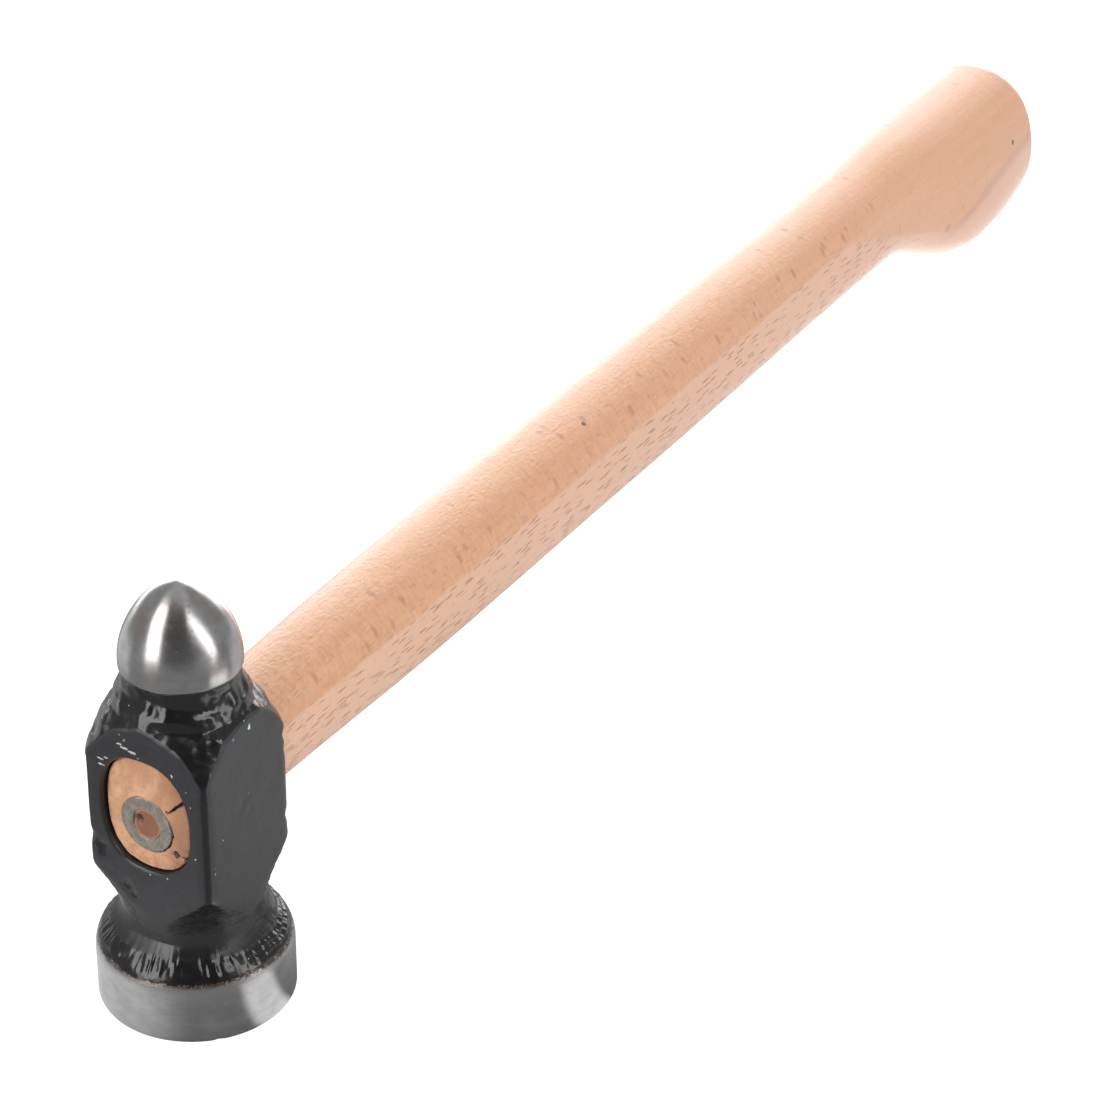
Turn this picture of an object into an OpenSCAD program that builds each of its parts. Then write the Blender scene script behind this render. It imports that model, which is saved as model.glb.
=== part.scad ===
/* [Head] */
// Diameter of the round steel the head is turned from, also the striking face
face_d = 25; // [19:0.5:32]
// Whole length of the head from the striking face to the tip of the peen
head_l = 59.8; // [50:0.1:75]
// Height of the straight band behind the striking face
band_h = 7.4; // [5:0.1:12]
// Rounding of the edge of the striking face
face_edge = 0.8; // [0.2:0.1:2]
// Radius of the turned neck between the face and the body
low_neck_r = 9.1; // [7:0.1:11]
// Height of the narrowest part of the lower neck
low_neck_z = 13.9; // [12:0.1:18]
// Height at which the body reaches its full corner width
body_z0 = 21; // [18:0.1:24]
// Height at which the upper shoulder starts
body_z1 = 37.6; // [34:0.1:42]
// Radius of the turned body, which the flats cut down to its four corners
body_r = 12.2; // [9:0.1:16]
// Width across the flats that the eye goes through
body_x = 17.9; // [15:0.1:22]
// Width across the two cheeks
body_y = 18.2; // [15:0.1:22]
// Radius of the turned neck under the peen
top_neck_r = 7.25; // [5:0.05:9]
// Height of the narrowest part of the upper neck
top_neck_z = 47.2; // [44:0.1:50]
// Largest radius of the peen
peen_r = 7.65; // [6:0.05:10]
// Height of the widest part of the peen
peen_z = 49.3; // [48:0.1:53]

/* [Eye] */
// Height of the middle of the eye and of the handle
eye_z = 30.9; // [27:0.1:34]
// Half height of the eye at its outer mouth
eye_rz = 7.95; // [6:0.05:9]
// Half height of the eye where the handle enters
eye_rz_in = 7.45; // [6:0.05:9]
// Width of the eye as a share of its height
eye_ratio = 0.82; // [0.6:0.001:1]
// Slack between the wood and the wall of the eye
eye_slack = 0.06; // [0.02:0.01:0.3]

/* [Handle] */
// Distance from the middle of the head to the end of the handle
handle_l = 224.1; // [180:0.1:320]
// Height of the section of the shaft
shaft_h = 16.7; // [12:0.1:24]
// Width of the section of the shaft
shaft_w = 14.5; // [10:0.1:22]
// Squareness of the section, 2 is a plain ellipse
section_power = 2.3; // [2:0.05:4]
// How much slimmer the shaft is where it meets the head
shoulder_slim = 0.6; // [0:0.05:2]
// Depth of the waist ahead of the butt
waist = 0.3; // [0:0.05:2]
// How far the belly of the butt drops below the shaft
belly_drop = 9.6; // [2:0.1:16]
// Where the belly starts
belly_x0 = 179; // [120:1:240]
// Where the belly is deepest
belly_x1 = 208.5; // [140:0.5:280]
// How much wider the butt is than the shaft
butt_flare = 6; // [0:0.1:14]
// How far the heel of the butt curls up again behind the belly
heel_curl = 3.4; // [0:0.1:8]
// Lean of the end of the butt, run per unit of height
butt_lean = 0.173; // [0:0.001:0.5]
// Rounding of the end of the butt
butt_edge = 2.5; // [1:0.1:6]
// How far the end of the wood sits inside the mouth of the eye
end_recess = 0.7; // [0:0.1:4]

/* [Ring wedge] */
// Outside radius of the ring at its visible end
ring_r = 3.8; // [2.5:0.05:5]
// Radius of the hole through the ring
ring_bore_r = 2.05; // [1:0.05:3]
// Depth of the ring in the wood
ring_l = 8; // [4:0.5:14]
// How much the ring narrows towards its sharp end
ring_taper = 0.55; // [0.1:0.05:1.2]
// Slack between the ring and the wood
ring_slack = 0.03; // [0.01:0.01:0.2]
// Sideways offset of the ring from the middle of the eye
ring_y = 0.2; // [-2:0.1:2]
// Height offset of the ring from the middle of the eye
ring_dz = -1.5; // [-3:0.1:3]

/* [Hidden] */
$fn = 96;
eps = 0.01;
face_r = face_d / 2;
rim_r = face_r - 1.05;
rim_z = band_h + 2.5;
neck_step = 6;
end_x = -body_x / 2 + end_recess;
shoulder_x = body_x / 2 + 0.1;
ring_z = eye_z + ring_dz;
around = 48;
steel = [0.62, 0.63, 0.65];
black = [0.13, 0.13, 0.14];
wood = [0.87, 0.68, 0.53];

// One point of a curve bent by a middle control point.
function bend_at(a, b, c, t) = a * (1 - t) * (1 - t) + b * 2 * t * (1 - t) + c * t * t;
// A curve of n steps from a to c that leaves and arrives along the lines to b.
function bend(a, b, c, n) = [for (i = [0 : n]) bend_at(a, b, c, i / n)];
// One point of a curve with two control points.
function sweep_at(a, b, c, d, t) =
    bend_at(a, b, c, t) * (1 - t) + bend_at(b, c, d, t) * t;
function sweep(a, b, c, d, n) = [for (i = [1 : n]) sweep_at(a, b, c, d, i / n)];
// Smooth rise from 0 to 1.
function clamp01(u) = min(1, max(0, u));
function rise(u) = clamp01(u) * clamp01(u) * (3 - 2 * clamp01(u));
// Smooth bump of height 1 in the middle of the stretch from a to b.
function bump(x, a, b) = x <= a || x >= b ? 0 : pow(sin(180 * (x - a) / (b - a)), 2);

// Turned outline of the head, as radius and height.
function head_outline() = concat(
    [[0, 0]],
    bend([face_r - face_edge, 0], [face_r, 0], [face_r, face_edge], 3),
    bend([face_r, band_h - 0.4], [face_r, band_h + 1.3], [rim_r, rim_z], 5),
    bend([low_neck_r + 1.3, rim_z + 1.2], [low_neck_r + 0.1, low_neck_z - 1.7],
         [low_neck_r, low_neck_z], 4),
    bend([low_neck_r, low_neck_z + 0.6], [low_neck_r + 0.2, body_z0 - 4.4],
         [body_r - 1.45, body_z0 - 2.1], neck_step),
    [[body_r, body_z0]],
    [[body_r, body_z1]],
    bend([body_r - 1.6, body_z1 + 3.3], [body_r - 2.3, body_z1 + 4.7],
         [top_neck_r + 1.4, body_z1 + 5.8], 4),
    bend([top_neck_r + 0.9, top_neck_z - 2.3], [top_neck_r, top_neck_z - 1.1],
         [top_neck_r, top_neck_z], 4),
    [[top_neck_r + 0.05, peen_z - 1.3]],
    [[peen_r - 0.15, peen_z - 1.05]],
    [[peen_r, peen_z - 0.5]],
    [[peen_r, peen_z]],
    sweep([peen_r, peen_z], [peen_r, peen_z + 4.3], [peen_r * 0.54, head_l - 1.7],
          [0, head_l], 14)
);

// Upright outline of the milled bar: straight flats that run out over the flare.
module flats_outline(half) {
    polygon([
        [-face_r - 1, -1],
        [face_r + 1, -1],
        [face_r + 1, band_h + 1.4],
        [half, low_neck_z - 1.2],
        [half, head_l + 1],
        [-half, head_l + 1],
        [-half, low_neck_z - 1.2],
        [-face_r - 1, band_h + 1.4]
    ]);
}

module flats_x() {
    rotate([90, 0, 0])
    linear_extrude(4 * face_r, center = true)
    flats_outline(body_x / 2);
}

module flats_y() {
    rotate([90, 0, 90])
    linear_extrude(4 * face_r, center = true)
    flats_outline(body_y / 2);
}

// Oval cone along X, centred on the eye; radii are half heights.
module oval_cone(x0, x1, r0, r1) {
    translate([x0, 0, eye_z])
    scale([1, eye_ratio, 1])
    rotate([0, 90, 0])
    cylinder(h = x1 - x0, r1 = r0, r2 = r1);
}

module eye() {
    oval_cone(-body_x / 2 - eps, 0, eye_rz, eye_rz_in);
    oval_cone(-eps, body_x / 2 + 1, eye_rz_in, eye_rz_in);
}

// One turned and milled steel head.
module head() {
    color(black)
    difference() {
        intersection() {
            rotate_extrude() polygon(head_outline());
            flats_x();
            flats_y();
        }
        eye();
    }
}

// Upper and lower edge of the handle above and below the middle of the eye.
function slim(x, reach) = 1 - rise((x - shoulder_x) / reach);
function top_edge(x) = shaft_h / 2 - 0.3 + 0.5 * rise((x - belly_x0 + 5) / 20)
    - shoulder_slim * slim(x, 25) - waist * bump(x, 130, 190);
function tail(x) = max(0, x - belly_x1) / (handle_l - belly_x1);
function bottom_edge(x) = -shaft_h / 2 - 0.05 + shoulder_slim * 1.7 * slim(x, 50)
    - belly_drop * rise((x - belly_x0) / (belly_x1 - belly_x0)) + heel_curl * pow(tail(x), 2);
function half_width(x) = shaft_w / 2 - shoulder_slim * 0.8 * slim(x, 35)
    - waist * 0.7 * bump(x, 130, 190)
    + butt_flare / 2 * rise((x - belly_x0 + 2) / (belly_x1 - belly_x0))
    - 0.85 * pow(tail(x), 1.5);

// Squared oval: signed power of a sine or cosine.
function squared(v) = sign(v) * pow(abs(v), 2 / section_power);
function lean(x) = butt_lean * clamp01((x - belly_x0 - 13) / (handle_l - belly_x0 - 13));
function ring_at(x, inset) = [
    for (i = [0 : around - 1])
        let (
            a = 360 * i / around,
            zc = (top_edge(x) + bottom_edge(x)) / 2,
            rz = (top_edge(x) - bottom_edge(x)) / 2 - inset,
            dz = rz * squared(sin(a))
        )
        [x - lean(x) * dz, (half_width(x) - inset) * squared(cos(a)), eye_z + zc + dz]
];

// One ring of the reduced end that fills the eye.
function tang_ring(x, r) = [
    for (i = [0 : around - 1])
        [x, r * eye_ratio * cos(360 * i / around), eye_z + r * sin(360 * i / around)]
];

// Stations along the shaft, closer together at the butt.
shaft_x = concat(
    [for (x = [shoulder_x : 12 : belly_x0 - 8]) x],
    [for (x = [belly_x0 - 4 : 3.2 : handle_l - butt_edge - 1.6]) x]
);
edge_a = [0, 22, 45, 68, 90];
tang_r = eye_rz_in - eye_slack;
// Spread by the wedge, the wood follows the flared mouth of the eye.
mouth_r = tang_r + (eye_rz - eye_rz_in) * -end_x / (body_x / 2);
rings = concat(
    [tang_ring(end_x, mouth_r - 0.5)],
    [tang_ring(end_x + 0.25, mouth_r - 0.15)],
    [tang_ring(end_x + 0.8, mouth_r - 0.06)],
    [tang_ring(0, tang_r)],
    [tang_ring(shoulder_x, tang_r)],
    [for (x = shaft_x) ring_at(x, 0)],
    [for (a = edge_a) ring_at(handle_l - butt_edge + butt_edge * sin(a),
                              butt_edge * (1 - cos(a)))]
);
ring_count = len(rings);

function side_faces() = [
    for (k = [0 : ring_count - 2], i = [0 : around - 1], half = [0, 1])
        let (
            j = (i + 1) % around,
            a = k * around,
            b = a + around
        )
        half == 0 ? [a + i, b + j, a + j] : [a + i, b + i, b + j]
];
function end_faces() = [
    [for (i = [0 : around - 1]) i],
    [for (i = [0 : around - 1]) ring_count * around - 1 - i]
];

// Wood from the end inside the eye to the butt.
module blank() {
    polyhedron(
        points = [for (r = rings, p = r) p],
        faces = concat(side_faces(), end_faces()),
        convexity = 4
    );
}

// Tapered tube along X, grown by the slack; radii are real radii.
module wedge_body(slack) {
    translate([end_x - slack, ring_y, ring_z])
    rotate([0, 90, 0])
    difference() {
        cylinder(h = ring_l + 2 * slack, r1 = ring_r + slack, r2 = ring_r - ring_taper + slack);
        translate([0, 0, -1])
        cylinder(h = ring_l + 2, r = ring_bore_r - slack);
    }
}

// One piece of beech: shaft, butt and the end inside the eye.
module handle() {
    color(wood)
    difference() {
        blank();
        wedge_body(ring_slack);
    }
}

// Round steel wedge driven into the end of the wood.
module ring_wedge() {
    color(steel)
    wedge_body(0);
}

head();
handle();
ring_wedge();
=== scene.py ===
import math

import bmesh
import bpy
import numpy as np
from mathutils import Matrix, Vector


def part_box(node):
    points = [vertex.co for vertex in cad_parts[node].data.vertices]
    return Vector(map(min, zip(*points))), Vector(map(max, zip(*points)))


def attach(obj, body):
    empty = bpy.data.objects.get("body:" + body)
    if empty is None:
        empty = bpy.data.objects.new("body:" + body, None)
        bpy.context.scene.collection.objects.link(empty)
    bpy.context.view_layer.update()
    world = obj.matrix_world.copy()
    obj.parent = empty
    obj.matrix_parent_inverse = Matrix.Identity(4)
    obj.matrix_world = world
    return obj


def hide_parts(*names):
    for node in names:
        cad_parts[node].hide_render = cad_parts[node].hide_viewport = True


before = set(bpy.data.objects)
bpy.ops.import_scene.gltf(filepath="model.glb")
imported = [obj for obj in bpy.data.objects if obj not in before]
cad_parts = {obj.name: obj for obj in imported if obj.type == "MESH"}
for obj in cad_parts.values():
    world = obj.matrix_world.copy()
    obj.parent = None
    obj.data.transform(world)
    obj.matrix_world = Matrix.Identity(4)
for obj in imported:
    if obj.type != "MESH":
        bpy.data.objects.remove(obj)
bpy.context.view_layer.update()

MM = 0.001

# Sizes of the head in millimetres, the same ones the solid is built from.
FACE_R = (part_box("head")[1].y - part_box("head")[0].y) / 2 / MM
HEAD_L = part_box("head")[1].z / MM
FACE_EDGE = 0.8
BAND_H = 7.4
RIM_R = FACE_R - 1.05
RIM_Z = BAND_H + 2.5
LOW_NECK_R = 9.1
LOW_NECK_Z = 13.9
BODY_R = 12.2
BODY_Z0 = 21.0
BODY_Z1 = 37.6
HALF_X = 8.95
HALF_Y = 9.1
TOP_NECK_R = 7.25
TOP_NECK_Z = 47.2
PEEN_R = 7.65
PEEN_Z = 49.3

# The paint covers the head between these heights.
PAINT_LOW = BAND_H + 1.35
PAINT_HIGH = PEEN_Z - 1.15
PAINT_THICK = 0.03

# Wear of the peen's tip, and the sides of the head with ripples and with a smoother neck.
TIP_WEAR = 0.03
RIPPLE_AT = math.radians(-68)
SMOOTH_NECK_WAY = (-0.859, -0.512, 0)

# Eye, wood end and ring.
EYE_Z = 30.9
EYE_RZ = 7.95
EYE_RZ_IN = 7.45
EYE_RATIO = 0.82
EYE_SLACK = 0.06
EYE_POWER = 2.45
EYE_FLAT = 0.05
EYE_FLAT_AT = math.radians(130)
EYE_LIP = 0.3
RING_BOX = [c / MM for c in (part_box("ring_wedge")[0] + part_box("ring_wedge")[1]) / 2]
RING_Y = RING_BOX[1]
RING_Z = RING_BOX[2]
RING_R = (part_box("ring_wedge")[1].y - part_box("ring_wedge")[0].y) / 2 / MM
RING_BORE_R = 2.05
RING_L = 8.0
RING_TAPER = 0.55
RING_EDGE = 0.16
GROOVE_GAP = 0.035
GROOVE_CRESCENT = 0.22
END_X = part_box("handle")[0].x / MM
SHOULDER_X = HALF_X + 0.1

# Handle. It is slimmer from WAIST_X0 to WAIST_X1, widens to the butt from BELLY_X0 to
# BELLY_X1, and its rings lean back from LEAN_X0 on.
HANDLE_L = 224.1
SHAFT_H = 16.7
SHAFT_W = 14.5
SECTION_POWER = 2.3
SHOULDER_SLIM = 0.6
SHOULDER_ROUND = 0.35
WAIST = 0.3
WAIST_X0 = 130
WAIST_X1 = 190
BELLY_DROP = 9.6
BELLY_X0 = 179.0
BELLY_X1 = 208.5
BUTT_FLARE = 6.0
HEEL_CURL = 3.4
BUTT_LEAN = 0.173
BUTT_EDGE = 2.5
BUTT_ROWS = 30
LEAN_X0 = BELLY_X0 + 13

# Direction from the hammer to the camera, as azimuth and elevation in degrees.
VIEW_AZ = -149.227
VIEW_EL = 31.321
CAMERA_PLACE = (-0.34095, -0.25470, 0.32152)
LENS_MM = 137.06

# Brightness of the room's far side and of the camera's side, and of the floor, in matte light.
ROOM_LIGHT = (0.22, 1.36)
FLOOR_GLOW = 0.70

# What the lights point at, in metres.
AIM_POINT = Vector((0.04, 0, 0.03))


# ---------------------------------------------------------------- noise

def lattice(seed):
    rng = np.random.RandomState(seed)
    return rng.rand(64, 64, 64).astype(np.float32)


def noise3(p, seed=0):
    """Smooth value noise from -1 to 1 at points p, an array of shape (..., 3)."""
    table = lattice(seed)
    base = np.floor(p).astype(int)
    f = p - base
    f = f * f * f * (f * (f * 6 - 15) + 10)
    total = 0
    for corner in np.ndindex(2, 2, 2):
        weight = 1
        for axis in range(3):
            weight = weight * (f[..., axis] if corner[axis] else 1 - f[..., axis])
        index = [(base[..., a] + corner[a]) % 64 for a in range(3)]
        total = total + weight * table[index[0], index[1], index[2]]
    return total * 2 - 1


def fractal(p, octaves, seed=0):
    total = 0
    for k in range(octaves):
        total = total + noise3(p * 2 ** k + 17.3 * k, seed + k) * 0.5 ** k
    return total


def smooth(lo, hi, v):
    t = np.clip((v - lo) / (hi - lo), 0, 1)
    return t * t * (3 - 2 * t)


# ---------------------------------------------------------------- curves

def bend(a, b, c, n=40):
    """A curve from a to c that leaves and arrives along the lines to b."""
    a, b, c = np.array(a, float), np.array(b, float), np.array(c, float)
    t = np.linspace(0, 1, n + 1)[:, None]
    return a * (1 - t) ** 2 + b * 2 * t * (1 - t) + c * t * t


def sweep(a, b, c, d, n=80):
    """A curve from a to d with two control points."""
    t = np.linspace(0, 1, n + 1)[:, None]
    return bend(a, b, c, n) * (1 - t) + bend(b, c, d, n) * t


def resample(points, step):
    """Points at even steps along a polyline."""
    length = np.r_[0, np.cumsum(np.linalg.norm(np.diff(points, axis=0), axis=1))]
    keep = np.r_[True, np.diff(length) > 1e-9]
    at = np.linspace(0, length[-1], int(length[-1] / step) + 1)
    return np.stack([np.interp(at, length[keep], points[keep, k]) for k in range(2)], 1)


def head_outline():
    """Turned outline of the head as rows of radius and height."""
    parts = [
        bend([FACE_R - FACE_EDGE, 0], [FACE_R, 0], [FACE_R, FACE_EDGE]),
        bend([FACE_R, BAND_H - 0.4], [FACE_R, BAND_H + 1.3], [RIM_R, RIM_Z]),
        bend([LOW_NECK_R + 1.3, RIM_Z + 1.2], [LOW_NECK_R + 0.1, LOW_NECK_Z - 1.7],
             [LOW_NECK_R, LOW_NECK_Z]),
        bend([LOW_NECK_R, LOW_NECK_Z + 0.6], [LOW_NECK_R + 0.2, BODY_Z0 - 4.4],
             [BODY_R - 1.45, BODY_Z0 - 2.1]),
        bend([BODY_R - 0.3, BODY_Z0 - 0.45], [BODY_R, BODY_Z0], [BODY_R, BODY_Z0 + 0.7]),
        bend([BODY_R, BODY_Z1 - 0.5], [BODY_R, BODY_Z1], [BODY_R - 0.25, BODY_Z1 + 0.5]),
        bend([BODY_R - 1.6, BODY_Z1 + 3.3], [BODY_R - 2.3, BODY_Z1 + 4.7],
             [TOP_NECK_R + 1.4, BODY_Z1 + 5.8]),
        bend([TOP_NECK_R + 0.9, TOP_NECK_Z - 2.3], [TOP_NECK_R, TOP_NECK_Z - 1.1],
             [TOP_NECK_R, TOP_NECK_Z]),
        bend([TOP_NECK_R + 0.03, PEEN_Z - 1.35], [TOP_NECK_R + 0.05, PEEN_Z - 1.05],
             [PEEN_R - 0.2, PEEN_Z - 1.0]),
        bend([PEEN_R - 0.2, PEEN_Z - 1.0], [PEEN_R, PEEN_Z - 0.9], [PEEN_R, PEEN_Z - 0.6]),
        sweep([PEEN_R, PEEN_Z], [PEEN_R, PEEN_Z + 4.3], [PEEN_R * 0.55, HEAD_L - 0.8],
              [0.02, HEAD_L]),
    ]
    return resample(np.concatenate(parts), 0.17)


def rise(u):
    """Goes smoothly from 0 to 1 while u goes from 0 to 1."""
    return smooth(0, 1, u)


def waist_bump(x):
    """0 outside the waist, 1 in its middle."""
    along = (x - WAIST_X0) / (WAIST_X1 - WAIST_X0)
    return np.where((along > 0) & (along < 1), np.sin(np.pi * along) ** 2, 0)


def belly(x, lead=0):
    """0 in front of the belly, 1 behind it; lead starts and ends it earlier."""
    return rise((x - BELLY_X0 + lead) / (BELLY_X1 - BELLY_X0))


def tail(x):
    """How far x is past the belly, as a share of the length that is left."""
    return np.maximum(0, x - BELLY_X1) / (HANDLE_L - BELLY_X1)


def slim(x, length):
    """1 at the shoulder, 0 from this length on."""
    return 1 - rise((x - SHOULDER_X) / length)


def top_edge(x):
    hump = 0.5 * rise((x - BELLY_X0 + 5) / 20)
    return SHAFT_H / 2 - 0.3 + hump - SHOULDER_SLIM * slim(x, 25) - WAIST * waist_bump(x)


def bottom_edge(x):
    return (-SHAFT_H / 2 - 0.05 + SHOULDER_SLIM * 1.7 * slim(x, 50)
            - BELLY_DROP * belly(x) + HEEL_CURL * tail(x) ** 2)


def half_width(x):
    return (SHAFT_W / 2 - SHOULDER_SLIM * 0.8 * slim(x, 35) - WAIST * 0.7 * waist_bump(x)
            + BUTT_FLARE / 2 * belly(x, 2) - 0.85 * tail(x) ** 1.5)


def squared(v, power=SECTION_POWER):
    return np.sign(v) * np.abs(v) ** (2 / power)


def eye_oval(a):
    """Directions round the eye: a little fuller than an ellipse, with one flatter corner."""
    less = 1 - EYE_FLAT * np.maximum(0, np.cos(a - EYE_FLAT_AT)) ** 2
    return less * squared(np.cos(a), EYE_POWER), less * squared(np.sin(a), EYE_POWER)


def circle(count):
    """Angles round a closed ring."""
    return np.linspace(0, 2 * np.pi, count, endpoint=False)


def quarter_turn(count, start=0.0):
    """Steps round a quarter circle, as rows of sine and 1 - cosine."""
    quarter = np.linspace(start, 1, count) * math.pi / 2
    return np.stack([np.sin(quarter), 1 - np.cos(quarter)], 1)


# ---------------------------------------------------------------- meshes

def link(obj):
    bpy.context.scene.collection.objects.link(obj)
    return obj


def grid_object(name, rows):
    """A closed mesh from rings of points, with a single point at each end."""
    count = len(rows[0])
    verts = [rows[0].mean(0)] + [p for row in rows for p in row] + [rows[-1].mean(0)]
    verts = np.array(verts) * MM
    pairs = [(i, (i + 1) % count) for i in range(count)]
    faces = [(0, 1 + j, 1 + i) for i, j in pairs]
    for k in range(len(rows) - 1):
        a = 1 + k * count
        b = a + count
        faces += [(a + i, a + j, b + j, b + i) for i, j in pairs]
    last = len(verts) - 1
    faces += [(last - count + i, last - count + j, last) for i, j in pairs]
    mesh = bpy.data.meshes.new(name)
    mesh.from_pydata(verts.tolist(), [], faces)
    mesh.validate()
    return link(bpy.data.objects.new(name, mesh))


def torus_object(name, grid):
    """A mesh from a grid that closes both ways."""
    rows, count = grid.shape[:2]
    index = np.arange(rows * count).reshape(rows, count)
    a, b = index, np.roll(index, -1, 1)
    c, d = np.roll(b, -1, 0), np.roll(index, -1, 0)
    faces = np.stack([a, b, c, d], 2).reshape(-1, 4)
    mesh = bpy.data.meshes.new(name)
    mesh.from_pydata((grid.reshape(-1, 3) * MM).tolist(), [], faces.tolist())
    face_outward(mesh)
    return link(bpy.data.objects.new(name, mesh))


def face_outward(mesh):
    """Turns the faces of a closed mesh so that their normals point out."""
    bm = bmesh.new()
    bm.from_mesh(mesh)
    bmesh.ops.recalc_face_normals(bm, faces=bm.faces)
    bm.to_mesh(mesh)
    bm.free()


def grid_normals(grid):
    """Outward unit normals of a (rows, around, 3) grid that closes around."""
    along = np.gradient(grid, axis=0)
    around = np.roll(grid, -1, 1) - np.roll(grid, 1, 1)
    n = np.cross(around, along)
    return n / (np.linalg.norm(n, axis=2, keepdims=True) + 1e-12)


def cut(obj, cutter):
    """Takes the cutter out of the object and throws the cutter away."""
    modifier = obj.modifiers.new("cut", "BOOLEAN")
    modifier.operation = "DIFFERENCE"
    modifier.solver = "MANIFOLD"
    modifier.object = cutter
    graph = bpy.context.evaluated_depsgraph_get()
    mesh = bpy.data.meshes.new_from_object(obj.evaluated_get(graph))
    obj.modifiers.clear()
    old = obj.data
    obj.data = mesh
    bpy.data.meshes.remove(old)
    bpy.data.objects.remove(cutter)


def finish_mesh(obj, material, angle=38):
    """Smooth shading with sharp edges where faces meet at more than the angle."""
    mesh = obj.data
    bm = bmesh.new()
    bm.from_mesh(mesh)
    bmesh.ops.remove_doubles(bm, verts=bm.verts, dist=1e-7)
    bmesh.ops.dissolve_degenerate(bm, edges=bm.edges, dist=1e-7)
    bmesh.ops.recalc_face_normals(bm, faces=bm.faces)
    limit = math.radians(angle)
    for face in bm.faces:
        face.smooth = True
    for edge in bm.edges:
        if len(edge.link_faces) == 2:
            edge.smooth = edge.calc_face_angle(0) < limit
    bm.to_mesh(mesh)
    bm.free()
    mesh.materials.clear()
    mesh.materials.append(material)
    return obj


def soft_min(a, b, k):
    """The smaller of a and b, rounded where they are closer than k."""
    h = np.maximum(k - np.abs(a - b), 0) / k
    return np.minimum(a, b) - h * h * k / 4


def dent(points, place, radius):
    """Strength of a round dent at a place, 1 in its middle."""
    d2 = ((points - np.array(place)) ** 2).sum(-1)
    return np.exp(-d2 / radius ** 2)


# ---------------------------------------------------------------- head


# Places that are knocked in: x, y, z, radius, depth in millimetres.
HEAD_DENTS = [
    (8.95, -9.0, 36.2, 0.8, 0.55),
    (8.9, -9.1, 33.9, 0.6, 0.35),
    (8.7, -9.1, 24.1, 0.8, 0.45),
    (8.9, -9.1, 22.4, 0.5, 0.3),
    (-8.95, 8.7, 25.0, 0.9, 0.4),
    (-8.95, 6.8, 24.3, 0.8, 0.30),
    (-8.95, 6.9, 23.2, 0.6, 0.20),
    (-8.95, 3.3, 19.5, 0.7, 0.26),
    (-8.95, 2.5, 18.4, 0.6, 0.22),
    (-8.95, -1.5, 41.2, 0.8, 0.15),
    (-1.3, -9.1, 31.4, 0.9, 0.10),
    (0.2, -9.1, 29.8, 0.6, 0.08),
    (1.8, -9.1, 13.1, 1.2, 0.35),
    (-8.4, -9.0, 0.3, 0.5, 0.13),
    (-8.9, -9.0, 40.1, 0.7, 0.25),
]


def head_grid():
    """The head without its eye, as points by height and angle, and where it is turned, not milled."""
    outline = head_outline()
    face = np.stack([np.linspace(0.4, FACE_R - FACE_EDGE - 0.15, 26), np.zeros(26)], 1)
    profile = np.concatenate([face, outline])
    r, z = profile[:, :1], profile[:, 1:]
    angle = circle(440)[None, :]

    # The flats run out into the flare above the band.
    open_up = np.maximum(0, LOW_NECK_Z - 1.2 - z)
    flare = open_up * open_up / (open_up + 0.8) * 1.55
    flat_x = (HALF_X + flare) / np.maximum(1e-3, np.abs(np.cos(angle)))
    flat_y = (HALF_Y + flare) / np.maximum(1e-3, np.abs(np.sin(angle)))
    milled = (z > BAND_H + 0.6) & (z < TOP_NECK_Z)
    soft = np.where(z > BODY_Z1 - 1, 0.45, 0.75)
    limit = soft_min(flat_x, flat_y, 0.8)
    radius = np.where(milled, soft_min(r + 0 * angle, limit, soft), r + 0 * angle)
    turned = np.where(milled, smooth(-0.5, 0.3, limit - r), 1.0)
    grid = np.stack([radius * np.cos(angle), radius * np.sin(angle), z + 0 * angle], 2)
    return grid, turned, angle


def between(v, start, full, fade, end):
    """1 from full to fade, and 0 before start and after end."""
    return smooth(start, full, v) * (1 - smooth(fade, end, v))


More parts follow.
